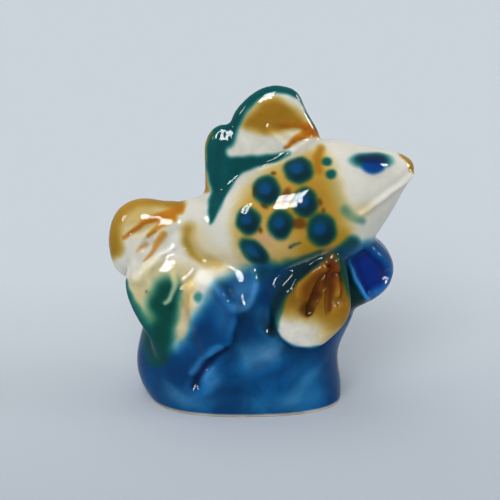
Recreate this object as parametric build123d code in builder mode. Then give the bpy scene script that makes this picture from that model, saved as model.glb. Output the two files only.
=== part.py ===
"""Glazed porcelain fish on a wave: slip castings luted together into one standing figure.

Millimetres, +Z up. +X runs from the tail to the snout, the fish's right side faces -Y, and the
origin lies on the table under the middle of the figure.
"""

import os
from math import cos, exp, pi, radians, sin

from build123d import *

# Casting: wall of the two hollow pieces, and how far a cut runs past the face it opens
cast_wall = 3.2
overrun = 1.0

# Fish body, hollow, from the tail root to the snout
body_length = 74.5
body_height = 38.4
body_width = 35.0

# Wave base, hollow, with soft folds, a foot rim, a drain in the floor and a vent up into the fish
base_length = 59.6
base_depth = 37.2
base_height = 47.0
base_setback = 49.7
base_floor = 4.2
belly_sink = 9.0
belly_roof = 5.0
fold_swell = 1.5
foot_rim = 4.0
foot_recess = 1.2
drain_diameter = 8.0
vent_diameter = 5.0

# Wave crest, the block of water that rises under the chin
crest_reach = 20.2
crest_height = 21.5
crest_width = 21.0
crest_setback = 25.0

# Dorsal fin: a tall front lobe, and a rounded rear lobe that wraps its back edge
dorsal_length = 27.0
dorsal_rise = 35.0
dorsal_thickness = 11.0
dorsal_setback = 40.5
dorsal_ray_width = 2.2
rear_length = 12.0
rear_rise = 31.3
rear_thickness = 10.0
rear_spacing = 14.0

# Tail: one upper lobe, and a lower lobe draped down each side of the wave
tail_reach = 14.5
tail_span = 26.5
tail_height = 23.8
tail_thickness = 14.0
tail_ray_width = 2.2
drape_width = 28.0
drape_drop = 35.0
drape_thickness = 10.0
drape_spread = 21.0
drape_setback = 70.8
drape_ray_width = 4.5

# Pectoral fins, one on each flank
pectoral_width = 23.0
pectoral_drop = 34.0
pectoral_thickness = 9.0
pectoral_spread = 34.0
pectoral_setback = 29.5
pectoral_ray_width = 3.2
pectoral_ray_depth = 1.4

# Depth of the grooves between the rays of the dorsal fin and the tail
ray_depth = 0.8

# Places that follow from those sizes
snout_x = (body_length + tail_reach) / 2
root_x = snout_x - body_length
base_x = snout_x - base_setback
belly_z = base_height - belly_sink
void_top = belly_z - belly_roof

# Body sections: along, up, half height and half width as shares of the body, and lean in degrees
body_shares = [
    (0.000, 0.365, 0.143, 0.137, 4),
    (0.107, 0.357, 0.229, 0.214, 7),
    (0.221, 0.346, 0.300, 0.300, 12),
    (0.356, 0.378, 0.409, 0.429, 17),
    (0.517, 0.464, 0.479, 0.500, 21),
    (0.671, 0.560, 0.492, 0.471, 25),
    (0.764, 0.685, 0.416, 0.394, 25),
    (0.856, 0.766, 0.286, 0.263, 25),
    (0.936, 0.841, 0.158, 0.151, 25),
    (0.972, 0.868, 0.100, 0.102, 25),
    (0.992, 0.879, 0.054, 0.058, 25),
]
snout_up_share = 0.884
body_void_shares = body_shares[1:9]

# Level sections: height, shift along X, length, thickness and shift outwards as shares
base_shares = [
    (0.00, 0.000, 1.000, 1.000, 0),
    (0.09, -0.013, 1.027, 1.005, 0),
    (0.21, -0.025, 1.023, 0.984, 0),
    (0.38, -0.008, 1.020, 0.935, 0),
    (0.55, 0.037, 1.040, 0.892, 0),
    (0.70, 0.062, 1.007, 0.871, 0),
    (0.85, 0.087, 0.856, 0.823, 0),
    (0.94, 0.104, 0.671, 0.726, 0),
    (1.00, 0.121, 0.503, 0.511, 0),
]
base_void_shares = [
    (0.00, -0.013, 1.000, 0.990, 0),
    (0.35, -0.018, 0.990, 0.940, 0),
    (0.70, 0.020, 0.990, 0.870, 0),
    (1.00, 0.050, 0.960, 0.820, 0),
]
dorsal_shares = [
    (0.00, -0.037, 0.74, 0.86, 0),
    (0.17, -0.019, 0.89, 0.96, 0),
    (0.34, 0.000, 0.98, 1.00, 0),
    (0.49, 0.002, 1.00, 0.95, 0),
    (0.63, -0.006, 0.94, 0.84, 0),
    (0.75, -0.030, 0.81, 0.70, 0),
    (0.86, -0.013, 0.64, 0.56, 0),
    (0.93, 0.015, 0.49, 0.43, 0),
    (0.98, 0.026, 0.28, 0.26, 0),
]
dorsal_tip_share = 0.026
rear_shares = [
    (0.00, 0.08, 0.83, 0.80, 0),
    (0.15, 0.00, 0.92, 0.95, 0),
    (0.31, -0.02, 0.95, 1.00, 0),
    (0.47, 0.00, 0.98, 1.00, 0),
    (0.63, 0.00, 1.00, 0.92, 0),
    (0.78, -0.04, 0.92, 0.80, 0),
    (0.89, -0.08, 0.69, 0.62, 0),
    (0.96, -0.08, 0.42, 0.40, 0),
]
rear_tip_share = -0.07
drape_shares = [
    (0.00, 0.15, 0.55, 0.80, 0.30),
    (0.17, 0.02, 0.94, 1.00, 0.58),
    (0.34, 0.01, 1.00, 1.00, 0.74),
    (0.51, 0.02, 0.88, 0.94, 0.86),
    (0.68, 0.02, 0.63, 0.82, 0.95),
    (0.84, 0.01, 0.38, 0.64, 1.00),
    (0.95, 0.00, 0.18, 0.40, 1.02),
]
drape_tip_share = 0.00
pectoral_shares = [
    (0.00, 0.26, 0.22, 0.70, 0.62),
    (0.16, 0.13, 0.54, 0.94, 0.74),
    (0.32, 0.04, 0.80, 1.00, 0.84),
    (0.50, -0.01, 0.98, 0.96, 0.92),
    (0.66, -0.03, 1.00, 0.88, 0.97),
    (0.82, -0.07, 0.80, 0.74, 1.00),
    (0.94, -0.09, 0.47, 0.50, 1.00),
]
pectoral_tip_share = -0.09

# Upright sections: along, up, height and width as shares
tail_shares = [
    (0.00, 0.16, 0.50, 0.70),
    (0.28, 0.10, 0.74, 1.00),
    (0.52, 0.07, 0.92, 1.00),
    (0.72, 0.02, 0.99, 0.90),
    (0.86, -0.01, 0.87, 0.73),
    (0.95, -0.02, 0.60, 0.50),
    (0.99, -0.02, 0.29, 0.24),
]
tail_tip_share = -0.02
crest_shares = [
    (0.00, -0.10, 0.80, 0.80),
    (0.40, -0.02, 1.00, 1.00),
    (0.66, 0.01, 0.86, 0.90),
    (0.86, 0.01, 0.60, 0.64),
    (0.96, 0.00, 0.34, 0.36),
]
crest_corner_share = 0.38

# Heights of the fin roots, as shares of the body's height above the belly line
crest_root_share = 0.052
dorsal_root_share = 0.573
rear_root_share = 0.370
tail_root_share = 0.276
drape_root_share = 0.270
pectoral_root_share = 0.430

# Folds down each side of the wave: angle from the snout end at the lip and at the foot, half
# width in degrees, and swell as a share of the largest
fold_shares = [(134, 125, 11, 0.80), (108, 111, 12, 1.00), (76, 68, 12, 0.70), (44, 38, 13, 0.55)]
outline_step = 10

# Ray grooves: along and up from the fin's foot at the root end, then at the tip end, as shares
dorsal_ray_shares = [(0.389, 0.646, 0.007, 0.686), (0.370, 0.586, 0.093, 0.486)]
tail_ray_shares = [
    (0.396, 0.353, 0.789, 0.134),
    (0.434, 0.227, 0.660, -0.038),
    (0.470, 0.120, 0.620, -0.050),
]
drape_ray_shares = [(0.032, 0.177, 0.021, 0.760)]
pectoral_ray_shares = [
    (0.217, 0.206, -0.078, 0.676),
    (0.261, 0.265, 0.174, 0.676),
    (0.300, 0.250, 0.310, 0.600),
]


def leaning_ovals(rows, inset=0):
    """Ovals across the body's spine, drawn in by the wall where a void is wanted."""
    ovals = []
    for along, up, half_height, half_width, lean in rows:
        middle = (root_x + along * body_length, 0, belly_z + up * body_height)
        across = Plane(middle, x_dir=(0, 1, 0), z_dir=(cos(radians(lean)), 0, sin(radians(lean))))
        with BuildSketch(across) as oval:
            Ellipse(half_width * body_width - inset, half_height * body_height - inset)
        ovals.append(oval.sketch)
    return ovals


def folded_ovals(rows, foot, rise, length, depth):
    """The wave's level outlines: ovals that swell out at each fold, alike on both sides."""
    outlines = []
    for height, shift, long, deep, _ in rows:
        points = []
        for angle in range(0, 360, outline_step):
            side = min(angle, 360 - angle)
            swell = sum(
                share * exp(-(((side - at_foot - (at_lip - at_foot) * height) / half_width) ** 2))
                for at_lip, at_foot, half_width, share in fold_shares
            )
            swell *= fold_swell * sin(pi * height)
            points.append((
                (long * length / 2 + swell) * cos(radians(angle)),
                (deep * depth / 2 + swell) * sin(radians(angle)),
            ))
        with BuildSketch(Plane(foot + Vector(shift * length, 0, height * rise))) as outline:
            with BuildLine():
                Spline(*points, periodic=True)
            make_face()
        outlines.append(outline.sketch)
    return outlines


def level_ovals(rows, foot, rise, length, thickness, spread=0, inset=0):
    """Horizontal ovals stacked from a foot point; a negative rise hangs them down."""
    ovals = []
    for height, shift, long, thick, out in rows:
        middle = foot + Vector(shift * length, out * spread, height * rise)
        with BuildSketch(Plane(middle)) as oval:
            Ellipse(long * (length / 2 - inset), thick * (thickness / 2 - inset))
        ovals.append(oval.sketch)
    return ovals


def level_fin(rows, tip_share, foot, rise, length, thickness, spread=0, inset=0):
    """Sections of a fin from its root to its rounded tip, drawn in for the core under its rays."""
    tip = foot + Vector(tip_share * length, spread, rise * (1 - inset / abs(rise)))
    return [*level_ovals(rows, foot, rise, length, thickness, spread, inset), Vertex(*tip)]


def upright_fin(rows, tip_share, foot, reach, height, thickness, inset=0):
    """Sections of a fin square to X, from its root to its rounded tip."""
    sections = []
    for along, up, tall, thick in rows:
        middle = foot + Vector(along * reach, 0, up * height)
        with BuildSketch(Plane(middle, x_dir=(0, 1, 0), z_dir=(1, 0, 0))) as oval:
            Ellipse(thick * (thickness / 2 - inset), tall * (height / 2 - inset))
        sections.append(oval.sketch)
    tip = foot + Vector(reach * (1 - inset / abs(reach)), 0, tip_share * height)
    return [*sections, Vertex(*tip)]


def ray_lenses(rows, foot, along, up, width):
    """Slim lens outlines in the fin's side view, one for each groove between its rays."""
    with BuildSketch(Plane.XZ) as lenses:
        for root_along, root_up, tip_along, tip_up in rows:
            root = (foot.X + root_along * along, foot.Z + root_up * up)
            tip = (foot.X + tip_along * along, foot.Z + tip_up * up)
            with BuildLine():
                SagittaArc(root, tip, width / 2)
                SagittaArc(tip, root, width / 2)
            make_face()
    return lenses.sketch


# Fish body outside
snout = Vertex(snout_x, 0, belly_z + snout_up_share * body_height)
with BuildPart() as body_form:
    loft(sections=[*leaning_ovals(body_shares), snout])

# Wave base outside
base_foot = Vector(base_x, 0, 0)
with BuildPart() as base_form:
    loft(sections=folded_ovals(base_shares, base_foot, base_height, base_length, base_depth))

# Vent between the two voids, which lets the closed castings dry and fire
with BuildPart(Plane((base_x, 0, void_top - overrun))) as vent:
    Cylinder(
        vent_diameter / 2,
        belly_z + cast_wall - void_top + 2 * overrun,
        align=(Align.CENTER, Align.CENTER, Align.MIN),
    )

with BuildPart() as fish_body:
    add(body_form.part)
    loft(sections=leaning_ovals(body_void_shares, inset=cast_wall), mode=Mode.SUBTRACT)
    add(vent.part, mode=Mode.SUBTRACT)

# The base is cut away where the belly sits in it, hollowed, and recessed inside its foot rim
base_void = level_ovals(
    base_void_shares,
    Vector(base_x, 0, base_floor),
    void_top - base_floor,
    base_length - 2 * cast_wall,
    base_depth - 2 * cast_wall,
)
with BuildPart() as wave_base:
    add(base_form.part)
    add(body_form.part, mode=Mode.SUBTRACT)
    loft(sections=base_void, mode=Mode.SUBTRACT)
    add(vent.part, mode=Mode.SUBTRACT)
    with BuildSketch(Plane(base_foot)):
        Ellipse(base_length / 2 - foot_rim, base_depth / 2 - foot_rim)
    extrude(amount=foot_recess, mode=Mode.SUBTRACT)
    with BuildSketch(Plane(base_foot)):
        Circle(drain_diameter / 2)
    extrude(amount=base_floor + overrun, mode=Mode.SUBTRACT)

# Wave crest, a blunt block with rounded corners
crest_foot = Vector(snout_x - crest_setback, 0, belly_z + crest_root_share * body_height)
crest_blocks = []
for along, up, tall, wide in crest_shares:
    middle = crest_foot + Vector(along * crest_reach, 0, up * crest_height)
    with BuildSketch(Plane(middle, x_dir=(0, 1, 0), z_dir=(1, 0, 0))) as block:
        corner = crest_corner_share * min(wide * crest_width, tall * crest_height)
        RectangleRounded(wide * crest_width, tall * crest_height, corner)
    crest_blocks.append(block.sketch)
crest_tip = Vertex(crest_foot.X + crest_reach, 0, crest_foot.Z)
with BuildPart() as wave_crest:
    loft(sections=[*crest_blocks, crest_tip])
    add(body_form.part, mode=Mode.SUBTRACT)
    add(base_form.part, mode=Mode.SUBTRACT)

# Dorsal fin: each rayed fin is cut through at its grooves, then filled again by its core
dorsal_foot = Vector(snout_x - dorsal_setback, 0, belly_z + dorsal_root_share * body_height)
dorsal_form = (dorsal_shares, dorsal_tip_share, dorsal_foot, dorsal_rise, dorsal_length, dorsal_thickness)
dorsal_rays = ray_lenses(dorsal_ray_shares, dorsal_foot, dorsal_length, dorsal_rise, dorsal_ray_width)
with BuildPart() as dorsal_fin_front:
    loft(sections=level_fin(*dorsal_form))
    extrude(dorsal_rays, amount=dorsal_thickness, both=True, mode=Mode.SUBTRACT)
    loft(sections=level_fin(*dorsal_form, inset=ray_depth))
    add(body_form.part, mode=Mode.SUBTRACT)

rear_foot = Vector(dorsal_foot.X - rear_spacing, 0, belly_z + rear_root_share * body_height)
with BuildPart() as dorsal_fin_rear:
    loft(sections=level_fin(rear_shares, rear_tip_share, rear_foot, rear_rise, rear_length, rear_thickness))
    add(body_form.part, mode=Mode.SUBTRACT)
    add(dorsal_fin_front.part, mode=Mode.SUBTRACT)

# Tail
tail_foot = Vector(-snout_x + tail_span, 0, belly_z + tail_root_share * body_height)
tail_form = (tail_shares, tail_tip_share, tail_foot, -tail_span, tail_height, tail_thickness)
tail_rays = ray_lenses(tail_ray_shares, tail_foot, -tail_span, tail_height, tail_ray_width)
with BuildPart() as tail_upper_lobe:
    loft(sections=upright_fin(*tail_form))
    extrude(tail_rays, amount=tail_thickness, both=True, mode=Mode.SUBTRACT)
    loft(sections=upright_fin(*tail_form, inset=ray_depth))
    add(body_form.part, mode=Mode.SUBTRACT)
    add(base_form.part, mode=Mode.SUBTRACT)

# Lower tail lobes and pectoral fins, one of each on either side
drape_foot = Vector(snout_x - drape_setback, 0, belly_z + drape_root_share * body_height)
drape_form = (drape_shares, drape_tip_share, drape_foot, -drape_drop, drape_width, drape_thickness)
drape_rays = ray_lenses(drape_ray_shares, drape_foot, drape_width, -drape_drop, drape_ray_width)

pectoral_foot = Vector(snout_x - pectoral_setback, 0, belly_z + pectoral_root_share * body_height)
pectoral_form = (
    pectoral_shares,
    pectoral_tip_share,
    pectoral_foot,
    -pectoral_drop,
    pectoral_width,
    pectoral_thickness,
)
pectoral_rays = ray_lenses(
    pectoral_ray_shares, pectoral_foot, pectoral_width, -pectoral_drop, pectoral_ray_width
)

drapes = {}
pectorals = {}
for side, sign in (("right", -1), ("left", 1)):
    drape_out = sign * drape_spread / 2
    with BuildPart() as drapes[side]:
        loft(sections=level_fin(*drape_form, drape_out))
        extrude(drape_rays, amount=drape_spread, both=True, mode=Mode.SUBTRACT)
        loft(sections=level_fin(*drape_form, drape_out, ray_depth))
        add(body_form.part, mode=Mode.SUBTRACT)
        add(base_form.part, mode=Mode.SUBTRACT)
        add(tail_upper_lobe.part, mode=Mode.SUBTRACT)

    pectoral_out = sign * pectoral_spread / 2
    with BuildPart() as pectorals[side]:
        loft(sections=level_fin(*pectoral_form, pectoral_out))
        extrude(pectoral_rays, amount=pectoral_spread, both=True, mode=Mode.SUBTRACT)
        loft(sections=level_fin(*pectoral_form, pectoral_out, pectoral_ray_depth))
        add(body_form.part, mode=Mode.SUBTRACT)
        add(base_form.part, mode=Mode.SUBTRACT)
        add(wave_crest.part, mode=Mode.SUBTRACT)

pieces = {
    "wave_base": wave_base,
    "wave_crest": wave_crest,
    "fish_body": fish_body,
    "dorsal_fin_front": dorsal_fin_front,
    "dorsal_fin_rear": dorsal_fin_rear,
    "tail_upper_lobe": tail_upper_lobe,
    "tail_lower_lobe_right": drapes["right"],
    "tail_lower_lobe_left": drapes["left"],
    "pectoral_fin_right": pectorals["right"],
    "pectoral_fin_left": pectorals["left"],
}
os.makedirs("parts", exist_ok=True)
for name, piece in pieces.items():
    piece.part.label = name
    export_step(piece.part, f"parts/{name}.step")
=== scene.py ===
import math

import bpy
import numpy as np
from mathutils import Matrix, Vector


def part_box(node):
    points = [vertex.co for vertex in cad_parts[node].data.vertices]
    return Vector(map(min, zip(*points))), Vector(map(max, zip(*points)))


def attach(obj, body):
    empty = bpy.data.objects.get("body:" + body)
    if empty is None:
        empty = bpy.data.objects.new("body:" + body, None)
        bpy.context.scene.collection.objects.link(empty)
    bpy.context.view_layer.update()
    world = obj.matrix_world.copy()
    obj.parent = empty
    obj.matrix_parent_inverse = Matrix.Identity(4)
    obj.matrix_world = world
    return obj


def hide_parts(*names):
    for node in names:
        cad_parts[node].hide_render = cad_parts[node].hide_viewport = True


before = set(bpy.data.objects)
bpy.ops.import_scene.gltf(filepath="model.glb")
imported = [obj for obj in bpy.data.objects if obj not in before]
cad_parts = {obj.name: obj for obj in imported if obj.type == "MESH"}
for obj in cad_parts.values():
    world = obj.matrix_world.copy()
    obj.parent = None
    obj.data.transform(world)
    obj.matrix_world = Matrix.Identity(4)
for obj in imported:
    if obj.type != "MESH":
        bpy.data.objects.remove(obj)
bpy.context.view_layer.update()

import openvdb
from mathutils import Vector

# The figure before painting: ten castings of white porcelain, stuck together with slip while
# damp and sponged over, so that every join is a soft fillet and the whole is one skin.
# The castings come from the frame; their fields of distance are joined and skinned.
mm = 0.001
grain_mm = 0.35         # spacing of the skin's points
join_mm = 2.6           # width over which two castings flow into each other
reach_mm = 4.8          # how far round each casting its distance is worked out
drain_plug_mm = 6       # radius that closes the drain hole while the hollow is filled
floor_mm = 3.9          # height of that plug, just under the casting's own floor
glaze_room_mm = 0.1     # how far the skin stays inside the castings' outer faces
sponge_rounds = 6       # how often the joined skin is evened out

castings = sorted(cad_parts)
corners = np.array([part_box(name) for name in castings]) / mm
low, high = corners[:, 0].min(0), corners[:, 1].max(0)
first = np.floor((low - reach_mm) / grain_mm).astype(int)
counts = np.ceil((high + reach_mm) / grain_mm).astype(int) - first + 1


def distance_field(name):
    """Distance in mm from every grid point to one casting, negative inside it."""
    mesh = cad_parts[name].data
    mesh.calc_loop_triangles()
    points = np.empty(len(mesh.vertices) * 3, np.float32)
    mesh.vertices.foreach_get("co", points)
    corners_of = np.empty(len(mesh.loop_triangles) * 3, np.int32)
    mesh.loop_triangles.foreach_get("vertices", corners_of)
    grid = openvdb.FloatGrid.createLevelSetFromPolygons(
        points.reshape(-1, 3) / mm, triangles=corners_of.reshape(-1, 3).astype(np.uint32),
        transform=openvdb.createLinearTransform(voxelSize=grain_mm), halfWidth=reach_mm / grain_mm)
    field = np.full(counts, reach_mm, np.float32)
    grid.copyToArray(field, ijk=tuple(int(i) for i in first))
    return field


def flow_together(a, b, width):
    """The union of two fields, with a fillet of about that width along the join."""
    overlap = np.clip(1 - np.abs(a - b) / width, 0, 1)
    return np.minimum(a, b) - overlap * overlap * width / 4


fields = {name: distance_field(name) for name in castings}
joined = fields[castings[0]]
for name in castings[1:]:
    joined = flow_together(joined, fields[name], join_mm)

grid_x, grid_y, grid_z = (
    ((first[a] + np.arange(counts[a])) * grain_mm).reshape([-1 if a == b else 1 for b in range(3)])
    for a in range(3))
base_low, base_high = (np.array(corner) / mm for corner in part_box("wave_base"))
base_middle, base_half = (base_low + base_high) / 2, (base_high - base_low) / 2
in_plug = np.hypot(grid_x - base_middle[0], grid_y) < drain_plug_mm
plugged = (joined < 0) | (in_plug & (grid_z > 0) & (grid_z < floor_mm))
hollow = np.ones(counts, bool)
for axis in range(3):
    before = np.maximum.accumulate(plugged, axis)
    after = np.flip(np.maximum.accumulate(np.flip(plugged, axis), axis), axis)
    hollow &= before & after
joined = np.where(hollow & ~(plugged & (joined > 0)), -np.abs(joined) - grain_mm, joined)

skin_grid = openvdb.FloatGrid()
skin_grid.copyFromArray(np.ascontiguousarray(joined, np.float32))
skin_grid.transform = openvdb.createLinearTransform(voxelSize=grain_mm)
skin, faces = skin_grid.convertToQuads(-glaze_room_mm)
skin = np.asarray(skin, float) + first * grain_mm
faces = np.asarray(faces, int)
edges = np.concatenate([faces[:, [i, (i + 1) % 4]] for i in range(4)])
edges = np.unique(np.sort(edges, 1), axis=0)


def sponged(values, rounds, strength=0.5):
    """Values at the skin's points, evened out with their neighbours."""
    ends = edges.ravel()
    others = edges[:, ::-1].ravel()
    shares = np.bincount(ends, minlength=len(skin))[:, None]
    for _ in range(rounds):
        around = np.stack([np.bincount(ends, values[others, a], len(skin))
                           for a in range(values.shape[1])], 1) / shares
        values = values + strength * (around - values)
    return values


def outward(points):
    """The skin's normals, weighted by the area of the faces round each point."""
    a, b, c, d = (points[faces[:, i]] for i in range(4))
    across = np.cross(c - a, d - b)
    total = np.stack([np.bincount(faces.ravel(), np.repeat(across[:, k], 4), len(points))
                      for k in range(3)], 1)
    return total / np.maximum(np.linalg.norm(total, axis=1, keepdims=True), 1e-12)


def sampled(field, points):
    """A field's values at points of the skin, read between grid points."""
    place = np.clip(points / grain_mm - first, 0, counts - 1.001)
    cell = place.astype(int)
    part = place - cell
    value = 0
    for i in range(8):
        step = np.array([i & 1, i >> 1 & 1, i >> 2 & 1])
        share = np.prod(np.where(step, part, 1 - part), 1)
        value = value + share * field[tuple((cell + step).T)]
    return value


skin = sponged(skin, sponge_rounds)
normals = outward(skin)
if np.sum(normals * skin) < 0:
    faces = faces[:, ::-1]
    normals = -normals
depths = np.stack([sampled(fields[name], skin) for name in castings], 1)

# The foot: the wave's rim, trimmed with a knife while the clay is damp. It is left squarer under
# the head and drawn in under the tail, and the wall above takes up the change.
foot_mm = 15            # height up to which the trimming shows
foot_easing = 1.5       # how quickly it dies away above the rim
foot_drawn_in_mm = 2.6  # how far the rim is drawn in at the tail end
drawn_from = 0.55       # share of the half length from which it is drawn in
round_power, square_power = 2.2, 2.7    # 2 gives an oval, more a squarer outline
along = (skin[:, 0] - base_middle[0]) / base_half[0]
across = np.abs(skin[:, 1] - base_middle[1]) / base_half[1]
on_wave = depths.argmin(1) == castings.index("wave_base")
trimmed = np.clip(1 - skin[:, 2] / foot_mm, 0, 1) ** foot_easing * on_wave
power = np.where(along > 0, square_power, round_power)
squared = np.maximum(np.abs(along) ** power + across ** power, 1e-9) ** (1 / power)
spread = 1 + (np.hypot(along, across) / squared - 1) * trimmed
skin[:, :2] = base_middle[:2] + (skin[:, :2] - base_middle[:2]) * spread[:, None]
at_tail = np.clip((-along - drawn_from) / (1 - drawn_from), 0, 1)
skin[:, 0] += foot_drawn_in_mm * trimmed ** 2 * at_tail
normals = outward(skin)

# The wave the fish rides: a hollow drum of white porcelain with folds modelled in it, washed with
# cobalt that pools dark in the hollows and thins on the swells. Its foot is wiped clean of glaze.
# The brush works on the joined figure, at the places of the photograph, on both sides alike.
picture_px = 500                  # the photograph's width
picture_mm = 147.9                # what that width spans at the figure
camera_tilt = math.radians(18)    # how far the camera looks down
camera_away_mm = 430
camera_aim_mm = np.array([-2.86, 0, 45.61])
camera_look = np.array([0, math.cos(camera_tilt), -math.sin(camera_tilt)])
camera_up = np.array([0, math.sin(camera_tilt), math.cos(camera_tilt)])
camera_mm = camera_aim_mm - camera_away_mm * camera_look
seam_paint_mm = 0.55              # how softly colour and relief cross from casting to casting
hand_px = 0.32                    # how far the hand strays from a brush's path
facing_gain = 2.2                 # how soon modelling sets in on faces that turn to the camera
least_share = 0.004               # share below which a casting leaves a point alone
line_steps = 6                    # straight runs between two points of a brush's path
darkest = 0.0015                  # what even the blackest pigment gives back

near = np.stack([skin[:, 0], -np.abs(skin[:, 1]), skin[:, 2]], 1) - camera_mm
zoom = camera_away_mm * picture_px / picture_mm / (near @ camera_look)
seen_at = picture_px / 2 + np.stack([near[:, 0] * zoom, -(near @ camera_up) * zoom], 1)
stray_waves = (((0.83, 0.4, 0.57), 0.3, (-0.61, 0.9, 1.13), 1.1),
               ((-0.47, 0.71, 0.92), 2.0, (1.21, -0.5, 0.69), 0.7))
stray = np.stack([np.sin(skin @ np.array(a) + b) + np.sin(skin @ np.array(c) + d)
                  for a, b, c, d in stray_waves], 1)
seen_at = seen_at + hand_px * stray
fold = np.where(skin[:, 1] > 0, -1.0, 1.0)
to_camera = -(fold * normals[:, 1] * camera_look[1] + normals[:, 2] * camera_look[2])
facing = np.clip(facing_gain * to_camera, 0, 1)
belonging = np.exp(-(depths - depths.min(1, keepdims=True)) / seam_paint_mm)
belonging /= belonging.sum(1, keepdims=True)
colours = np.zeros((len(skin), 3))
relief = np.zeros(len(skin))
bare = np.zeros(len(skin))
pieces = {}


def fired(code):
    """A pigment as the kiln leaves it, from its six-figure screen colour."""
    screen = np.array([int(code[i:i + 2], 16) for i in (0, 2, 4)]) / 255
    light = np.where(screen < 0.04045, screen / 12.92, ((screen + 0.055) / 1.055) ** 2.4)
    return np.maximum(light, darkest)


def fade(value):
    """A share between 0 and 1, eased at both ends."""
    value = np.clip(value, 0, 1)
    return value * value * (3 - 2 * value)


def flowing_line(points, closed=False):
    """A brush's path: a smooth line through given picture points."""
    points = np.array(points, float)
    ring = np.concatenate([points[-1:], points, points[:2]]) if closed else np.concatenate(
        [2 * points[:1] - points[1:2], points, 2 * points[-1:] - points[-2:-1]])
    t = np.linspace(0, 1, line_steps, endpoint=False)[:, None]
    runs = []
    for a, b, c, d in zip(ring[:-3], ring[1:-2], ring[2:-1], ring[3:]):
        runs.append(0.5 * (2 * b + (c - a) * t + (2 * a - 5 * b + 4 * c - d) * t ** 2
                           + (3 * b - a - 3 * c + d) * t ** 3))
    return np.concatenate(runs + [points[:1] if closed else points[-1:]])


class Casting:
    """One casting under the brush: its points of the skin, its colour and its modelling."""

    def __init__(self, name, ground):
        self.name = name
        self.share = belonging[:, castings.index(name)]
        self.points = np.flatnonzero(self.share > least_share)
        self.at = seen_at[self.points]
        self.colour = np.tile(fired(ground), (len(self.points), 1))
        self.height = np.zeros(len(self.points))

    def stroke(self, points, width, tip=1.0, soft=0.6):
        """Cover of one brush stroke: 1 on its path, fading to 0 at its edges."""
        line = flowing_line(points)
        widths = width / 2 * np.linspace(1, tip, len(line))
        best = np.full(len(self.at), np.inf)
        box = np.all((self.at > line.min(0) - width) & (self.at < line.max(0) + width), 1)
        at, nearest = self.at[box], best[box]
        for a, b, wide, narrow in zip(line[:-1], line[1:], widths[:-1], widths[1:]):
            run = b - a
            along = np.clip(((at - a) @ run) / max(run @ run, 1e-9), 0, 1)
            away = np.linalg.norm(at - a - along[:, None] * run, axis=1)
            nearest = np.minimum(nearest, away / (wide + along * (narrow - wide)))
        best[box] = nearest
        return fade((1 + soft / 2 - best) / soft)

    def dab(self, centre, size, turn=0.0, soft=0.5):
        """Cover of one oval dab of the brush."""
        turn = math.radians(turn)
        away = self.at - np.array(centre)
        along = away @ np.array([math.cos(turn), math.sin(turn)])
        across = away @ np.array([-math.sin(turn), math.cos(turn)])
        return fade((1 + soft / 2 - np.hypot(along / (size[0] / 2), across / (size[1] / 2))) / soft)

    def wash(self, outline, soft):
        """Cover of an area laid in with a full brush, fading over soft pixels at its edge."""
        line = flowing_line(outline, closed=True)
        inside = np.zeros(len(self.at), bool)
        away = np.full(len(self.at), 1e9)
        for a, b in zip(line[:-1], line[1:]):
            run = b - a
            along = np.clip(((self.at - a) @ run) / max(run @ run, 1e-9), 0, 1)
            away = np.minimum(away, np.linalg.norm(self.at - a - along[:, None] * run, axis=1))
            crosses = (a[1] > self.at[:, 1]) != (b[1] > self.at[:, 1])
            level = a[0] + (self.at[:, 1] - a[1]) * run[0] / (run[1] if run[1] else 1e-9)
            inside ^= crosses & (self.at[:, 0] < level)
        return fade(0.5 + np.where(inside, away, -away) / soft)

    def tint(self, pigment, cover, strength=1.0):
        """Lays pigment over the colour below, which a thin coat stains, as clear glazes do."""
        coat = np.clip(cover, 0, 1) * strength
        self.colour *= (fired(pigment) / self.colour) ** coat[:, None]

    def mould(self, height_mm, cover):
        """Raises the clay under the cover, or presses it in."""
        self.height += height_mm * cover

    def lay_down(self, finish):
        """Adds the casting's colour and modelling to the skin, and makes its piece."""
        share = self.share[self.points]
        colours[self.points] += self.colour * share[:, None]
        relief[self.points] += self.height * share * facing[self.points]
        mesh = bpy.data.meshes.new(self.name + "_glazed")
        piece = bpy.data.objects.new(self.name + "_glazed", mesh)
        mesh.materials.append(finish)
        bpy.context.scene.collection.objects.link(piece)
        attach(piece, "root")
        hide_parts(self.name)
        pieces[self.name] = piece


bare_roughness, mirror_level = 0.8, 0.1
ripple_per_m, ripple_strength, ripple_depth = 190, 0.012, 0.001


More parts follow.
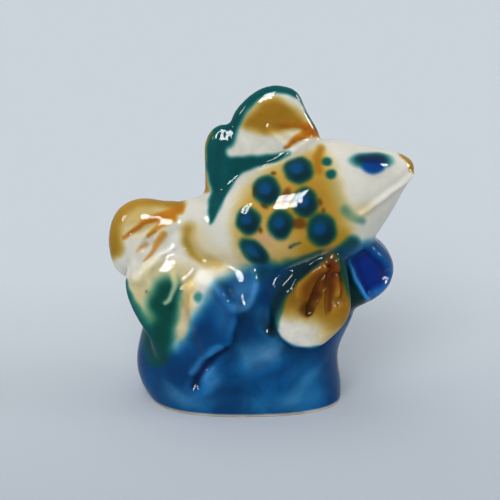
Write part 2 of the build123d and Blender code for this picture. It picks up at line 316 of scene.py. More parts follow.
def glaze(name, mottle, mottle_size, gloss):
    """Clear glaze over painted slip: the skin's colour, mottled, under a wet-looking surface."""
    material = bpy.data.materials.new(name)
    material.use_nodes = True
    nodes, links = material.node_tree.nodes, material.node_tree.links
    surface = nodes["Principled BSDF"]
    place = nodes.new("ShaderNodeTexCoord")
    paint = nodes.new("ShaderNodeAttribute")
    paint.attribute_name = "paint"
    unglazed = nodes.new("ShaderNodeAttribute")
    unglazed.attribute_name = "bare"
    clouds = nodes.new("ShaderNodeTexNoise")
    clouds.inputs["Scale"].default_value = 1 / mottle_size
    clouds.inputs["Detail"].default_value = 5
    clouds.inputs["Roughness"].default_value = 0.6
    clouds.inputs["Distortion"].default_value = 0.7
    links.new(place.outputs["Object"], clouds.inputs["Vector"])
    depth = nodes.new("ShaderNodeMapRange")
    depth.inputs["From Min"].default_value = 0.3
    depth.inputs["From Max"].default_value = 0.7
    depth.inputs["To Min"].default_value = 1 - mottle
    depth.inputs["To Max"].default_value = 1 + mottle
    links.new(clouds.outputs["Fac"], depth.inputs["Value"])
    pooled = nodes.new("ShaderNodeVectorMath")
    pooled.operation = "SCALE"
    links.new(paint.outputs["Color"], pooled.inputs[0])
    links.new(depth.outputs["Result"], pooled.inputs["Scale"])
    links.new(pooled.outputs["Vector"], surface.inputs["Base Color"])
    sheen = nodes.new("ShaderNodeMapRange")
    sheen.inputs["To Min"].default_value = gloss
    sheen.inputs["To Max"].default_value = bare_roughness
    links.new(unglazed.outputs["Fac"], sheen.inputs["Value"])
    links.new(sheen.outputs["Result"], surface.inputs["Roughness"])
    ripples = nodes.new("ShaderNodeTexNoise")
    ripples.inputs["Scale"].default_value = ripple_per_m
    ripples.inputs["Detail"].default_value = 1
    links.new(place.outputs["Object"], ripples.inputs["Vector"])
    bump = nodes.new("ShaderNodeBump")
    bump.inputs["Strength"].default_value = ripple_strength
    bump.inputs["Distance"].default_value = ripple_depth
    links.new(ripples.outputs["Fac"], bump.inputs["Height"])
    links.new(bump.outputs["Normal"], surface.inputs["Normal"])
    surface.inputs["Specular IOR Level"].default_value = mirror_level
    return material


cobalt, deep_cobalt, pale_cobalt, ink = "00487c", "00305c", "4a7ba8", "02161e"
ivory, biscuit, buff = "dedacd", "c9bfae", "c9b67c"
teal, dark_teal, green = "064a4c", "033a42", "06443c"
waterline = [(264, 262), (246, 268), (229, 278), (217, 291), (208, 306), (195, 322), (185, 338),
             (174, 350)]
under_body = [(171, 366), (160, 376), (147, 368), (138, 352), (100, 340), (100, 450), (420, 450),
              (420, 300), (400, 244), (352, 248), (330, 260), (300, 267)]
under_tail = [(162, 340), (160, 300), (172, 262), (200, 246), (262, 246)]


def paint_haunch(casting):
    """The brushwork where body, tail, drapes and wave meet, which crosses their joins."""
    pale_lobe = [(190, 288), (187, 302), (182, 318), (179, 332)]
    casting.tint("dcb870", casting.stroke(pale_lobe, width=19, tip=0.7, soft=1.3), strength=0.75)
    pale_foot = [(184, 316), (180, 334)]
    casting.tint("d8ccb0", casting.stroke(pale_foot, width=15, tip=0.7, soft=1.5), strength=0.6)
    crescent = [(189, 229), (189, 241), (194, 251), (203, 259), (217, 264)]
    casting.tint("b08a3a", casting.stroke(crescent, width=13, tip=0.8, soft=1.7), strength=0.7)
    crescent_edge = [(187, 230), (187, 241), (192, 252), (200, 261)]
    casting.tint("946c18", casting.stroke(crescent_edge, width=7, tip=0.6, soft=1.6), strength=0.6)
    crescent_haze = [(196, 236), (204, 254), (222, 262), (242, 260)]
    casting.tint("dcc68e", casting.stroke(crescent_haze, width=22, soft=1.7), strength=0.5)
    green_hollow = [(160, 279), (174, 277), (180, 287), (178, 306), (174, 326), (171, 346), (166, 362),
                    (155, 360), (149, 345), (148, 318), (147, 303), (152, 290)]
    casting.tint(green, casting.wash(green_hollow, soft=14), strength=0.97)
    # The leaf ridge's pale buff is partly its own pale paint, partly painted highlight along its edges.
    leaf_ridge = [(173, 274), (175, 284), (171, 297), (165, 303)]
    casting.tint("d6cfa6", casting.stroke(leaf_ridge, width=7, tip=0.4, soft=1.2), strength=0.88)
    drape_edge = [(155, 360), (150, 346), (145, 325), (134, 307), (126, 292), (124, 281)]
    casting.tint(teal, casting.stroke(drape_edge, width=15, tip=0.45, soft=1), strength=0.95)
    casting.mould(0.6, casting.stroke(leaf_ridge, width=7, soft=1.5))
    stray_dot, stray_dot_size = (201.5, 297), (9, 9)
    casting.tint("2c6c6c", casting.dab(stray_dot, stray_dot_size, soft=0.9), strength=0.8)
    casting.mould(-0.2, casting.stroke(crescent, width=16, soft=1.7))
    lobe = [(188, 290), (204, 272), (222, 283), (231, 301), (236, 317), (230, 344), (216, 357),
            (204, 350), (197, 330)]
    casting.mould(1.5, casting.wash(lobe, soft=10))
    lobe_middle, lobe_size = (209, 308), (42, 84)
    casting.mould(1.4, casting.dab(lobe_middle, lobe_size, soft=1.3))
    lobe_arch = [(178, 303), (186, 290), (200, 284), (214, 285), (224, 294)]
    casting.mould(0.6, casting.stroke(lobe_arch, width=8, soft=1.6))
    lobe_edge = [(224, 293), (229, 301), (235, 311), (235, 320), (230, 336), (225, 347)]
    casting.mould(0.9, casting.stroke(lobe_edge, width=8, soft=1.6))
    haunch_middle, haunch_size = (166, 266), (60, 38)
    casting.mould(0.9, casting.dab(haunch_middle, haunch_size, soft=1.3))


wave = Casting("wave_base", cobalt)
left_hollow, left_hollow_size = (180, 368), (52, 64)
wave.tint(deep_cobalt, wave.dab(left_hollow, left_hollow_size, soft=1.3), strength=0.5)
# Painted shadow: deep cobalt low in the lobe, where shade falls under its bulge.
lobe_shadow, lobe_shadow_size = (207, 332), (18, 26)
wave.tint(deep_cobalt, wave.dab(lobe_shadow, lobe_shadow_size, soft=1.3), strength=0.8)
lobe_bloom = [(217, 290), (225, 305), (227, 326)]
wave.tint("5a80b4", wave.stroke(lobe_bloom, width=15, soft=1.5), strength=0.6)
beside_ring, beside_ring_size = (250, 326), (36, 34)
wave.tint(deep_cobalt, wave.dab(beside_ring, beside_ring_size, soft=1.4), strength=0.6)
right_fold = [(326, 345), (327, 370), (331, 396)]
wave.tint(deep_cobalt, wave.stroke(right_fold, width=16, soft=1.5), strength=0.45)
crease = [(286, 349), (272, 360), (256, 367)]
wave.tint(deep_cobalt, wave.stroke(crease, width=7, soft=1.4), strength=0.6)
middle_swell = [(239, 346), (262, 343), (283, 345), (279, 358), (266, 367), (248, 372), (238, 364)]
wave.tint("6a8cb2", wave.wash(middle_swell, soft=20), strength=0.65)
upper_swell, upper_swell_size = (241, 285), (28, 38)
wave.tint("5f86b8", wave.dab(upper_swell, upper_swell_size, soft=1.2), strength=0.75)
hook_swell, hook_swell_size = (211, 379), (20, 24)
wave.tint("5f8abc", wave.dab(hook_swell, hook_swell_size, soft=1.4), strength=0.7)
right_swell, right_swell_size = (305, 376), (44, 24)
wave.tint(pale_cobalt, wave.dab(right_swell, right_swell_size, soft=1.4), strength=0.25)
foot_band = [(170, 396), (215, 403), (260, 406), (318, 396)]
wave.tint(pale_cobalt, wave.stroke(foot_band, width=18, soft=1.5), strength=0.4)
cloud_mm, cloud_layers = 5.5, 8                 # size of the wash's clouds, and waves added up for them
curl, curl_rate, curl_start = 0.7, 1.3, 0.5     # how the clouds are drawn into curls
layer_turn, layer_dip, finer, fainter = 2.4, 4.1, 1.25, 1.2     # change from each wave to the next
pale_gain, dark_gain, cloud_gap = 0.36, 0.4, 0.05
drift = skin[wave.points] / cloud_mm
drift = drift + curl * np.sin(curl_rate * drift[:, [1, 2, 0]] + curl_start)
cloud = np.zeros(len(drift))
for layer in range(cloud_layers):
    turn, dip = layer_turn * layer, layer_dip * layer
    heading = np.array([math.cos(turn), math.sin(dip), math.sin(turn)])
    cloud += np.sin(finer ** layer * (drift @ heading) + layer) / fainter ** layer
wave.tint("7a94b6", fade(pale_gain * cloud - cloud_gap), strength=0.42)
wave.tint(deep_cobalt, fade(-dark_gain * cloud - cloud_gap), strength=0.45)
hook = [(225, 348), (212, 359), (199, 374), (195, 385)]
wave.tint("001c44", wave.stroke(hook, width=6, soft=1.5), strength=0.8)
# Painted highlight: pale blue along the raised bank beside the hook.
hook_bank_highlight = [(219, 345), (206, 356), (193, 372)]
wave.tint(pale_cobalt, wave.stroke(hook_bank_highlight, width=6, soft=1.5), strength=0.6)
# The ring's pale blue line is a painted highlight along its raised ridge.
ring = [(236, 306), (244, 308), (252, 298), (256, 285), (254, 272)]
wave.tint("6c92c2", wave.stroke(ring, width=6, soft=1.4), strength=0.65)
wave.tint(ivory, wave.wash(waterline + under_tail, soft=20), strength=1)
paint_haunch(wave)
flank_shadow = [(260, 275), (282, 271), (304, 266)]
wave.tint("0c4a54", wave.stroke(flank_shadow, width=13, soft=1.4), strength=0.65)
fan_shadow = [(302, 268), (289, 287), (278, 308), (272, 330)]
wave.tint(ink, wave.stroke(fan_shadow, width=11, soft=1.3), strength=0.85)
# Painted shade: deep cobalt in the hollow beside the pectoral fin, next to its painted shadow.
fan_hollow_shade, fan_hollow_shade_size = (273, 290), (22, 34)
wave.tint(deep_cobalt, wave.dab(fan_hollow_shade, fan_hollow_shade_size, turn=20, soft=1.3), strength=0.8)
wave.mould(1.0, wave.stroke(ring, width=12, soft=1.6))
wave.mould(-0.8, wave.dab(upper_swell, upper_swell_size, soft=1.4))
wave.mould(-1.0, wave.stroke(hook, width=8, soft=1.6))
wave.mould(0.7, wave.stroke(hook_bank_highlight, width=9, soft=1.6))
wave.mould(0.8, wave.dab(hook_swell, hook_swell_size, soft=1.5))
hook_lip = [(190, 387), (198, 393), (208, 391)]
wave.mould(0.9, wave.stroke(hook_lip, width=10, soft=1.6))
wave.mould(-0.8, wave.stroke(crease, width=13, soft=1.6))
fan_groove = [(282, 276), (274, 300), (268, 324)]
wave.mould(-1.4, wave.stroke(fan_groove, width=14, soft=1.5))
wave.lay_down(glaze("wave_glaze", mottle=0.32, mottle_size=0.011, gloss=0.06))
wiped_mm, wiped_edge_mm = 1.1, 0.5
bare[:] = fade((wiped_mm - skin[:, 2]) / wiped_edge_mm) * wave.share

# The wave's breaking crest: a solid block of the same porcelain, stuck with slip under the fish's
# chin, with a flat panel sunk in each side. It is brushed with a heavier coat of cobalt, deepest on
# the panel; the lighter rim round the panel is partly painted reflection, and pale lines along the
# panel's edges are painted highlights.
crest = Casting("wave_crest", "0a4a82")
panel = [(350, 258), (369, 250), (388, 268), (391, 279), (377, 291), (367, 293)]
crest.tint("00287c", crest.wash(panel, soft=4), strength=0.95)
# Painted highlights: pale lines along the panel's edges, where its rim catches the light.
highlit_panel_edge = [(348, 256), (355, 277), (366, 297)]
crest.tint("5c8cc8", crest.stroke(highlit_panel_edge, width=4, soft=1.3), strength=0.55)
highlit_panel_lip = [(370, 296), (381, 292), (392, 281), (391, 270)]
crest.tint("4c80c0", crest.stroke(highlit_panel_lip, width=4, soft=1.4), strength=0.5)
crest_shadow = [(338, 254), (344, 278), (357, 304)]
crest.tint("052c2a", crest.stroke(crest_shadow, width=16, soft=0.9), strength=0.95)
crest.mould(-2.0, crest.wash(panel, soft=4))
crest.mould(1.3, crest.stroke(highlit_panel_edge, width=5, soft=1.6))
crest.lay_down(glaze("crest_glaze", mottle=0.12, mottle_size=0.01, gloss=0.05))

# The fish's body and head: a hollow casting left ivory, with a mustard cheek over which the scales
# are dabbed as dark rings with a cobalt heart, and an eye of two touches. It sits in the wave's top.
mustard, ochre, brown, rust = "c0963e", "9a6c18", "4c2804", "b86c14"
heart_blue = "00487c"


def paint_back(casting):
    """The brushwork of the back and both dorsal fins, which crosses their joins."""
    fin_cloud = [(252, 112), (264, 101), (278, 99), (292, 108), (304, 119), (304, 126), (288, 129),
                 (268, 133), (246, 128), (244, 122)]
    casting.tint(ochre, casting.wash(fin_cloud, soft=13), strength=0.95)
    cloud_foot, cloud_foot_size = (289, 138), (24, 12)
    casting.tint("d8bc78", casting.dab(cloud_foot, cloud_foot_size, turn=15, soft=1.5), strength=0.25)
    upper_ray = [(321, 131), (305, 126), (292, 126), (279, 128)]
    casting.tint(rust, casting.stroke(upper_ray, width=9, tip=0.25, soft=0.7), strength=0.95)
    lower_ray = [(320, 132), (305, 134), (293, 141), (284, 148)]
    casting.tint(rust, casting.stroke(lower_ray, width=10, tip=0.3, soft=0.8), strength=0.9)
    ray_root, ray_root_size = (311, 131), (18, 9)
    casting.tint("a85a0c", casting.dab(ray_root, ray_root_size, turn=5, soft=0.9), strength=0.8)
    rim = [(224, 138), (232, 118), (242, 105), (255, 94), (270, 88), (286, 89), (298, 95)]
    casting.tint(teal, casting.stroke(rim, width=21, tip=0.35, soft=0.7), strength=0.97)
    front_edge = [(290, 88), (300, 98), (308, 114), (318, 130)]
    casting.tint("24504f", casting.stroke(front_edge, width=4, soft=1), strength=0.75)
    leaf = [(208, 134), (216, 125), (224, 138), (228, 156), (240, 157), (264, 155), (290, 153),
            (276, 163), (258, 167), (241, 174), (229, 192), (219, 211), (210, 224), (209, 204),
            (211, 190), (206, 162)]
    casting.tint(teal, casting.wash(leaf, soft=5), strength=0.97)
    leaf_edge = [(206, 190), (203, 165), (204, 146), (210, 132)]
    casting.tint(ochre, casting.stroke(leaf_edge, width=6, soft=1), strength=0.75)
    cloud_ridge = [(268, 128), (276, 137), (292, 147)]
    casting.mould(0.4, casting.stroke(cloud_ridge, width=5, soft=1.6))
    neck_ridge = [(309, 138), (292, 151), (275, 164), (260, 170)]
    casting.mould(0.5, casting.stroke(neck_ridge, width=5, soft=1.6))


def paint_tail(casting):
    """The brushwork of the tail and its drapes, which crosses their joins with the body."""
    rim = [(112, 248), (111, 234), (115, 217), (126, 205), (143, 199), (163, 200), (179, 204)]
    casting.tint("9a7018", casting.stroke(rim, width=20, tip=0.6, soft=1.2), strength=0.9)
    rim_fade, rim_fade_size = (140, 214), (56, 34)
    casting.tint("b48a38", casting.dab(rim_fade, rim_fade_size, turn=-14, soft=1.6), strength=0.5)
    long_ray = [(180, 209), (162, 216), (147, 221), (139, 227), (124, 238)]
    casting.tint(rust, casting.stroke(long_ray, width=10, tip=0.4, soft=0.8), strength=0.85)
    middle_ray = [(173, 218), (160, 225), (148, 236)]
    casting.tint(rust, casting.stroke(middle_ray, width=8, tip=0.5, soft=0.9), strength=0.7)
    short_ray = [(163, 235), (155, 247), (146, 262)]
    casting.tint("c07c28", casting.stroke(short_ray, width=8, tip=0.4, soft=0.9), strength=0.7)
    stray_ray = [(146, 244), (138, 251)]
    casting.tint("c07c28", casting.stroke(stray_ray, width=5, tip=0.6, soft=1.2), strength=0.5)
    buff_band = [(146, 290), (152, 276), (168, 271), (186, 276)]
    casting.tint(buff, casting.stroke(buff_band, width=20, soft=1.5), strength=0.6)
    buff_side = [(134, 284), (139, 300), (150, 318)]
    casting.tint(buff, casting.stroke(buff_side, width=14, soft=1.5), strength=0.55)
    speck, speck_size = (146.8, 291), (2.4, 2.4)
    casting.tint(brown, casting.dab(speck, speck_size, soft=0.8), strength=0.8)
    ray_ridge = [(138, 278), (151, 264), (164, 253), (175, 246)]
    casting.mould(1.0, casting.stroke(ray_ridge, width=10, tip=0.2, soft=1.7))
    ray_groove = [(176, 230), (158, 243), (140, 258)]
    casting.mould(-0.4, casting.stroke(ray_groove, width=9, soft=1.5))
    buff_ridge = [(160, 262), (151, 269), (148, 280), (153, 291)]
    casting.mould(0.4, casting.stroke(buff_ridge, width=5, soft=1.5))
    side_ridge = [(187, 286), (186, 308), (182, 334)]
    casting.mould(0.6, casting.stroke(side_ridge, width=12, soft=1.5))


body = Casting("fish_body", ivory)
cheek = [(318, 152), (329, 164), (335, 182), (342, 205), (348, 224), (346, 240), (334, 253),
         (312, 263), (283, 268), (258, 267), (240, 250), (236, 222), (246, 196), (264, 178),
         (284, 163), (300, 156)]
body.tint(mustard, body.wash(cheek, soft=25), strength=0.97)
cheek_shade, cheek_shade_size = (308, 212), (44, 66)
body.tint(ochre, body.dab(cheek_shade, cheek_shade_size, turn=10, soft=1.4), strength=0.6)
cheek_foot = [(306, 246), (324, 246), (340, 236)]
body.tint("a87a14", body.stroke(cheek_foot, width=16, soft=1.4), strength=0.6)
cheek_light, cheek_light_size = (271, 245), (52, 34)
body.tint("d2b888", body.dab(cheek_light, cheek_light_size, turn=-12, soft=1.4), strength=0.6)
brow = [(321, 150), (318, 160), (319, 172)]
body.tint("9c640c", body.stroke(brow, width=8, soft=1.7), strength=0.75)
scales = ((299, 172, 28, 26, 0), (268, 192, 26, 27, 0), (249.5, 221, 24, 25, 0),
          (281, 224, 24, 27, 20), (305, 203, 24, 28, 10), (321, 229, 28, 31, 10),
          (255, 251, 33, 20, 42))
shade_share, shade_right, shade_down = 0.62, 2, 3
heart_wide, heart_tall, heart_shift = 0.46, 0.42, -1.5
for x, y, wide, tall, turn in scales:
    body.tint(dark_teal, body.dab((x, y), (wide, tall), turn, soft=0.5), strength=0.96)
    shade_at, shade_size = (x + shade_right, y + shade_down), (wide * shade_share, tall * shade_share)
    body.tint("061f2c", body.dab(shade_at, shade_size, turn, soft=0.8), strength=0.55)
    heart_at, heart_size = (x + heart_shift, y + heart_shift), (wide * heart_wide, tall * heart_tall)
    body.tint(heart_blue, body.dab(heart_at, heart_size, turn, soft=0.9), strength=0.9)
brow_dots = ((327, 162.5, 10, 8.5), (331, 175, 10, 8.5))
for x, y, wide, tall in brow_dots:
    body.tint(teal, body.dab((x, y), (wide, tall), soft=0.7), strength=0.85)
iron_specks = ((287, 197, 9, 14, 20), (256, 193, 4, 9, 0), (266, 207, 8, 4, 20), (275, 176, 5, 4, 0),
               (320, 202, 4, 7, 0), (323, 210, 4, 5, 0), (299, 223, 14, 10, 0), (262, 229, 4, 6, 0))
for x, y, wide, tall, turn in iron_specks:
    body.tint(brown, body.dab((x, y), (wide, tall), turn, soft=0.8), strength=0.6)
short_touch = [(290, 245), (301, 241)]
body.tint(dark_teal, body.stroke(short_touch, width=3.4, tip=0.6), strength=0.8)
flush, flush_size = (266, 238), (16, 12)
body.tint("d0987c", body.dab(flush, flush_size, soft=1.2), strength=0.5)
flank_stroke = [(288, 263), (304, 259), (320, 253)]
body.tint("2c5e55", body.stroke(flank_stroke, width=12, tip=0.7, soft=1.4), strength=0.75)
jowl_shade = [(333, 186), (338, 198), (346, 210)]
body.tint("a09a68", body.stroke(jowl_shade, width=11, soft=1.8), strength=0.4)
jowl = [(344, 210), (353, 217), (362, 221)]
body.tint("3c7464", body.stroke(jowl, width=9, tip=0.7, soft=1.7), strength=0.6)
jowl_haze, jowl_haze_size = (360, 211), (26, 14)
body.tint("d4bc7c", body.dab(jowl_haze, jowl_haze_size, turn=-20, soft=1.5), strength=0.5)
throat = [(338, 258), (345, 249), (352, 243)]
body.tint(dark_teal, body.stroke(throat, width=14, soft=1.3), strength=0.85)
eye, eye_size = (371, 161), (38, 15)
body.tint(dark_teal, body.dab(eye, eye_size, soft=0.8), strength=0.92)
iris, iris_size = (372.5, 166.5), (22, 15)
body.tint("003a84", body.dab(iris, iris_size, soft=0.6), strength=0.95)
pupil, pupil_size = (372, 160.5), (24, 8)
body.tint("0a1d3a", body.dab(pupil, pupil_size, soft=0.9), strength=0.7)
nose = [(401, 153), (409, 160), (412, 170)]
body.tint(ochre, body.stroke(nose, width=6, soft=0.9), strength=0.85)
body.tint(cobalt, body.wash(waterline + under_body, soft=17), strength=1)
paint_haunch(body)
paint_back(body)
paint_tail(body)
cheek_swell, cheek_swell_size = (290, 212), (118, 120)
body.mould(1.3, body.dab(cheek_swell, cheek_swell_size, soft=1.1))
jaw_ridge = [(412, 174), (390, 192), (360, 213)]
body.mould(0.8, body.stroke(jaw_ridge, width=5, soft=1.6))
body.mould(0.4, body.dab(eye, eye_size, soft=1.3))
body.mould(0.8, body.dab(iris, iris_size, soft=1.4))
body.lay_down(glaze("body_glaze", mottle=0.06, mottle_size=0.006, gloss=0.045))

# The tall dorsal fin: its own casting, stuck along the back with slip, ivory with a teal rim brushed
# along the top, an ochre cloud and two rust strokes at the front root.
fin_glaze = glaze("fin_glaze", mottle=0.1, mottle_size=0.006, gloss=0.045)
dorsal = Casting("dorsal_fin_front", ivory)
paint_back(dorsal)
dorsal.lay_down(fin_glaze)

# The dorsal fin's rear lobe: a narrow solid leaf of the same clay, stuck behind the tall fin and
# down the back. It takes a full coat of teal, with the outer edge left ochre.
rear = Casting("dorsal_fin_rear", ivory)
paint_back(rear)
rear_groove = [(221, 134), (219, 160), (215, 190)]
rear.mould(-0.4, rear.stroke(rear_groove, width=8, soft=1.5))
rear.lay_down(fin_glaze)

# The tail's upper lobe: a thick swept casting stuck to the body's end, ivory, with an ochre band
# round its rim and rust strokes that follow the rays pressed into it.
tail = Casting("tail_upper_lobe", ivory)
paint_haunch(tail)
paint_tail(tail)
tail_glaze = glaze("tail_glaze", mottle=0.08, mottle_size=0.006, gloss=0.045)
tail.lay_down(tail_glaze)

# The tail's two lower lobes: castings that drape over the wave on either side and are stuck to it.
# They are buff, with a green hollow, a pale ridge and a dark outer edge, and run out into the blue.
for side in ("right", "left"):
    drape = Casting("tail_lower_lobe_" + side, ivory)
    paint_haunch(drape)
    paint_tail(drape)
    drape.tint(cobalt, drape.wash(waterline + under_body, soft=30), strength=1)
    drape.lay_down(tail_glaze)

# The pectoral fins: solid fans pressed in a mould and stuck to the flanks, in amber glaze that pools
# brown in the grooves of the rays. They are cream at the tip, with dark brushed edges.
pectoral_glaze = glaze("pectoral_glaze", mottle=0.14, mottle_size=0.005, gloss=0.04)
fan_outline = [(338, 252), (320, 262), (303, 276), (291, 288), (282, 301), (276, 314), (275, 326),
               (282, 339), (296, 347), (314, 348), (331, 343), (350, 324), (362, 306), (354, 282)]
for side in ("right", "left"):
    fan = Casting("pectoral_fin_" + side, ivory)
    amber_side, amber_side_size = (338, 326), (40, 26)
    fan.tint("c09a54", fan.dab(amber_side, amber_side_size, turn=-45, soft=1.5), strength=0.7)
    amber = [(340, 248), (318, 258), (298, 272), (284, 288), (276, 304), (284, 313), (300, 316),
             (316, 320), (334, 326), (352, 320), (368, 304), (358, 276)]
    fan.tint("8e6418", fan.wash(amber, soft=24), strength=0.97)
    fan_heart = [(337, 254), (326, 270), (314, 292)]
    fan.tint("6c3c06", fan.stroke(fan_heart, width=24, soft=1.5), strength=0.85)
    left_ray = [(334, 264), (323, 280), (312, 299)]
    fan.tint("4a2004", fan.stroke(left_ray, width=9, tip=0.7, soft=1.7), strength=0.6)
    middle_ray = [(335, 270), (331, 288), (329, 310)]
    fan.tint("5b2408", fan.stroke(middle_ray, width=8, tip=0.5, soft=1.7), strength=0.6)
    right_ray = [(339, 264), (342, 282), (343, 300)]
    fan.tint("6b3a10", fan.stroke(right_ray, width=5, soft=1.2), strength=0.5)
    pit, pit_size = (307, 309), (13, 15)
    fan.tint("4a2804", fan.dab(pit, pit_size, turn=15, soft=1.1), strength=0.8)
    right_edge = [(344, 254), (352, 280), (362, 304)]
    fan.tint("0a3a34", fan.stroke(right_edge, width=17, soft=1), strength=0.95)
    left_edge = [(320, 260), (302, 275), (290, 288), (280, 308), (276, 326)]
    fan.tint("0b3a3a", fan.stroke(left_edge, width=6, soft=1.4), strength=0.6)
    beyond = 1 - fan.wash(fan_outline, soft=6)
    fan.tint("003c66", beyond, strength=0.97)
    shadow_side = [(320, 257), (300, 271), (286, 288), (276, 307), (271, 326)]
    fan.tint("03252c", beyond * fan.stroke(shadow_side, width=17, soft=1.3), strength=0.9)
    fan.mould(-0.4, beyond)
    left_ridge = [(322, 265), (302, 284), (299, 296)]
    fan.mould(1.6, fan.stroke(left_ridge, width=7, soft=1.5))
    inner_ridge = [(325, 270), (320, 290)]
    fan.mould(1.4, fan.stroke(inner_ridge, width=6, soft=1.5))
    right_ridge = [(336, 259), (335, 280), (337, 294)]
    fan.mould(1.6, fan.stroke(right_ridge, width=6, soft=1.5))
    fan.mould(-0.6, fan.dab(pit, pit_size, turn=15, soft=1.4))
    fan.lay_down(pectoral_glaze)

# Firing: the modelling is pressed into the skin, the skin is parted again along the joins, and
# each casting gets its own closed shell, with the whole figure's normals so that no join shows.
side_room_mm = 1.4      # depth in which modelling on the widest folds flattens out
pooling = 0.9           # how much a millimetre of hollow darkens the glaze that pools in it
pooling_limit = 0.6
form_rounds = 40        # evening out that leaves the general form, without swells and hollows
skin = skin + normals * sponged(relief[:, None], rounds=2)
skin = sponged(skin, rounds=3, strength=0.4)
proud = np.maximum(np.abs(skin[:, 1]) - (high[1] - side_room_mm), 0)
skin[:, 1] -= np.sign(skin[:, 1]) * (proud - side_room_mm * np.tanh(proud / side_room_mm))
skin = np.clip(skin, low, high)
standing = np.sum((skin - sponged(skin, form_rounds)) * normals, 1)
standing = sponged(standing[:, None], rounds=6)
colours = sponged(colours, rounds=2) * np.exp(np.clip(standing * pooling, -pooling_limit, pooling_limit))
colours = colours * (1 - bare[:, None]) + fired(biscuit) * bare[:, None]
normals = sponged(outward(skin), rounds=3)
normals /= np.linalg.norm(normals, axis=1, keepdims=True)
owner = depths[faces].mean(1).argmin(1)
for number, name in enumerate(castings):
    mine = faces[owner == number]
    used, index = np.unique(mine, return_inverse=True)
    index = index.reshape(-1, 4)
    sides = np.concatenate([index[:, [i, (i + 1) % 4]] for i in range(4)])
    code = np.sort(sides, 1) @ np.array([len(used), 1])
    _, back, count = np.unique(code, return_inverse=True, return_counts=True)
    rims = sides[count[back.ravel()] == 1]
    middle = skin[used][rims[:, 0]].mean(0) if len(rims) else skin[used].mean(0)
    shell = np.concatenate([skin[used], middle[None]])
    caps = np.stack([rims[:, 1], rims[:, 0], np.full(len(rims), len(used))], 1)
    mesh = pieces[name].data
    mesh.from_pydata((shell * mm).tolist(), [], index.tolist() + caps.tolist())
    mesh.polygons.foreach_set("use_smooth", np.ones(len(mesh.polygons), bool))
    paint = mesh.attributes.new("paint", "FLOAT_COLOR", "POINT")
    tints = np.ones((len(shell), 4), np.float32)
    tints[:-1, :3] = colours[used]
    paint.data.foreach_set("color", tints.ravel())
    wiped = mesh.attributes.new("bare", "FLOAT", "POINT")
    wiped.data.foreach_set("value", np.append(bare[used], 0).astype(np.float32))
    cap_a, cap_b, cap_c = (shell[caps[:, i]] for i in range(3))
    cap_normals = np.repeat(np.cross(cap_b - cap_a, cap_c - cap_a), 3, 0)
    turned = np.concatenate([normals[used][index.ravel()], cap_normals])
    turned /= np.maximum(np.linalg.norm(turned, axis=1, keepdims=True), 1e-12)
    mesh.normals_split_custom_set(turned.tolist())

# The table and the room: a matt sheet of pale grey-blue paper between pale walls, with painted
# shade that darkens it towards the front. A tall paned window stands in front, narrower ones at
# the sides, and a skylight behind. Each gives even daylight, and the windows give bright panes for
# the glaze to mirror.
floor_reach = 60.0
# floor_shade is the paper at the front, darkened as painted shade; it grades to floor_pale at the back.
floor_shade, floor_pale = (0.515, 0.56, 0.615, 1), (0.68, 0.73, 0.78, 1)
floor_front, floor_back = -0.105, 0.11
wall_pale = (0.60, 0.645, 0.685, 1)
sheet = bpy.data.meshes.new("table_sheet")
turns = np.linspace(0, 2 * math.pi, 64, endpoint=False)
sheet_edge = [(floor_reach * math.cos(turn), floor_reach * math.sin(turn), 0) for turn in turns]
sheet.from_pydata(sheet_edge, [], [list(range(len(sheet_edge)))])
table = bpy.data.objects.new("table_sheet", sheet)
bpy.context.scene.collection.objects.link(table)
paper = bpy.data.materials.new("table_paper")
paper.use_nodes = True
nodes, links = paper.node_tree.nodes, paper.node_tree.links
spot = nodes.new("ShaderNodeTexCoord")
depth = nodes.new("ShaderNodeSeparateXYZ")
tone = nodes.new("ShaderNodeMapRange")
tone.inputs["From Min"].default_value = floor_front
tone.inputs["From Max"].default_value = floor_back
shade = nodes.new("ShaderNodeMix")
shade.data_type = "RGBA"
shade.inputs["A"].default_value = floor_shade
shade.inputs["B"].default_value = floor_pale
links.new(spot.outputs["Object"], depth.inputs["Vector"])
links.new(depth.outputs["Y"], tone.inputs["Value"])
links.new(tone.outputs["Result"], shade.inputs["Factor"])
matt = nodes["Principled BSDF"]
matt.inputs["Roughness"].default_value = 0.9
matt.inputs["Specular IOR Level"].default_value = 0
links.new(shade.outputs["Result"], matt.inputs["Base Color"])
sheet.materials.append(paper)

cool_sky, white_sky = (0.86, 0.94, 1, 1), (1, 1, 1, 1)


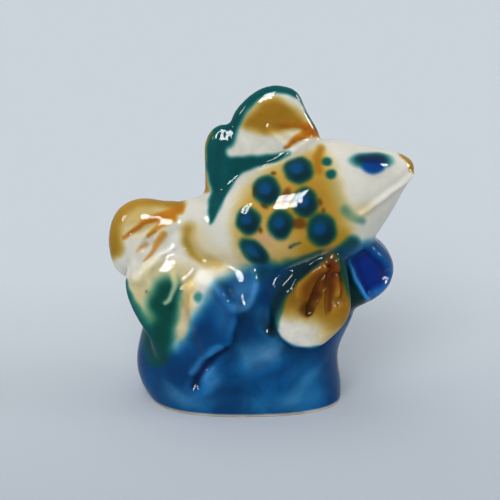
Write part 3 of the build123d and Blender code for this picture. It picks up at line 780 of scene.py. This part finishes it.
def window(name, place, light, spread, panes=(0, 0), pane_size=(0, 0), bar=0, shine=0):
    """A window: its even daylight, and the bright panes between bars that the glaze mirrors."""
    out = (Vector(place) - Vector(camera_aim_mm * mm)).normalized()
    turn = out.to_track_quat("Z", "Y")
    daylight = bpy.data.lights.new(name, "SUN")
    daylight.energy = light
    daylight.angle = math.radians(spread)
    lamp = bpy.data.objects.new(name, daylight)
    lamp.rotation_mode = "QUATERNION"
    lamp.rotation_quaternion = turn
    lamp.location = place
    lamp.visible_glossy = False
    bpy.context.scene.collection.objects.link(lamp)
    wide, tall = pane_size
    pane_corners = [(x * wide / 2, y * tall / 2, 0) for x, y in ((-1, -1), (1, -1), (1, 1), (-1, 1))]
    for column in range(panes[0]):
        for row in range(panes[1]):
            glass = bpy.data.meshes.new(f"{name}_pane_{column}_{row}")
            glass.from_pydata(pane_corners, [], [(0, 1, 2, 3)])
            bright = bpy.data.materials.new(glass.name)
            bright.use_nodes = True
            sky = bright.node_tree.nodes["Principled BSDF"]
            sky.inputs["Base Color"].default_value = (0, 0, 0, 1)
            sky.inputs["Emission Color"].default_value = cool_sky if (column + row) % 2 else white_sky
            sky.inputs["Emission Strength"].default_value = shine
            glass.materials.append(bright)
            mirror = bpy.data.objects.new(glass.name, glass)
            mirror.rotation_mode = "QUATERNION"
            mirror.rotation_quaternion = turn
            right = (column - (panes[0] - 1) / 2) * (wide + bar)
            up = (row - (panes[1] - 1) / 2) * (tall + bar)
            mirror.location = Vector(place) + turn @ Vector((right, up, 0))
            mirror.visible_camera = mirror.visible_diffuse = mirror.visible_shadow = False
            mirror.visible_transmission = mirror.visible_volume_scatter = False
            bpy.context.scene.collection.objects.link(mirror)


window("tall_window", (-0.5, -1.9, 1.45), light=1.4, spread=40,
       panes=(3, 2), pane_size=(0.24, 0.40), bar=0.036, shine=110)
window("side_window", (1.9, -0.1, 0.9), light=0.3, spread=18,
       panes=(2, 1), pane_size=(0.20, 0.52), bar=0.036, shine=84)
window("left_window", (-1.9, -0.95, 1.1), light=0.05, spread=18,
       panes=(2, 1), pane_size=(0.07, 0.5), bar=0.03, shine=84)
window("skylight", (-0.6, 0.9, 2.4), light=0.36, spread=60)

wall_daylight = (0.94, 0.97, 1.0, 1)
wall_glow, ceiling_glow = 0.12, 0.65
room = bpy.data.worlds.new("room")
bpy.context.scene.world = room
room.use_nodes = True
nodes, links = room.node_tree.nodes, room.node_tree.links
wall_light = nodes["Background"]
wall_light.inputs["Color"].default_value = wall_daylight
aim = nodes.new("ShaderNodeTexCoord")
height = nodes.new("ShaderNodeSeparateXYZ")
glow = nodes.new("ShaderNodeMapRange")
glow.inputs["From Min"].default_value = 0.05
glow.inputs["From Max"].default_value = 0.9
glow.inputs["To Min"].default_value = wall_glow
glow.inputs["To Max"].default_value = ceiling_glow
links.new(aim.outputs["Generated"], height.inputs["Vector"])
links.new(height.outputs["Z"], glow.inputs["Value"])
links.new(glow.outputs["Result"], wall_light.inputs["Strength"])
wall_seen = nodes.new("ShaderNodeBackground")
wall_seen.inputs["Color"].default_value = wall_pale
ray = nodes.new("ShaderNodeLightPath")
mirrored = nodes.new("ShaderNodeMath")
mirrored.operation = "MAXIMUM"
links.new(ray.outputs["Is Glossy Ray"], mirrored.inputs[0])
links.new(ray.outputs["Is Transmission Ray"], mirrored.inputs[1])
seen = nodes.new("ShaderNodeMath")
seen.operation = "MAXIMUM"
links.new(ray.outputs["Is Camera Ray"], seen.inputs[0])
links.new(mirrored.outputs["Value"], seen.inputs[1])
walls = nodes.new("ShaderNodeMixShader")
links.new(seen.outputs["Value"], walls.inputs["Fac"])
links.new(wall_light.outputs["Background"], walls.inputs[1])
links.new(wall_seen.outputs["Background"], walls.inputs[2])
links.new(walls.outputs["Shader"], nodes["World Output"].inputs["Surface"])

# The camera: a level view from a little above the table, square on to the figure's right side,
# with the picture's own frame and everything in it sharp.
sensor_mm = 36
lens = bpy.data.cameras.new("camera")
lens.sensor_width = sensor_mm
lens.lens = sensor_mm * camera_away_mm / picture_mm
camera = bpy.data.objects.new("camera", lens)
camera.location = camera_mm * mm
camera.rotation_euler = (math.pi / 2 - camera_tilt, 0, 0)
bpy.context.scene.collection.objects.link(camera)
bpy.context.scene.camera = camera
bpy.context.scene.view_settings.view_transform = "Standard"
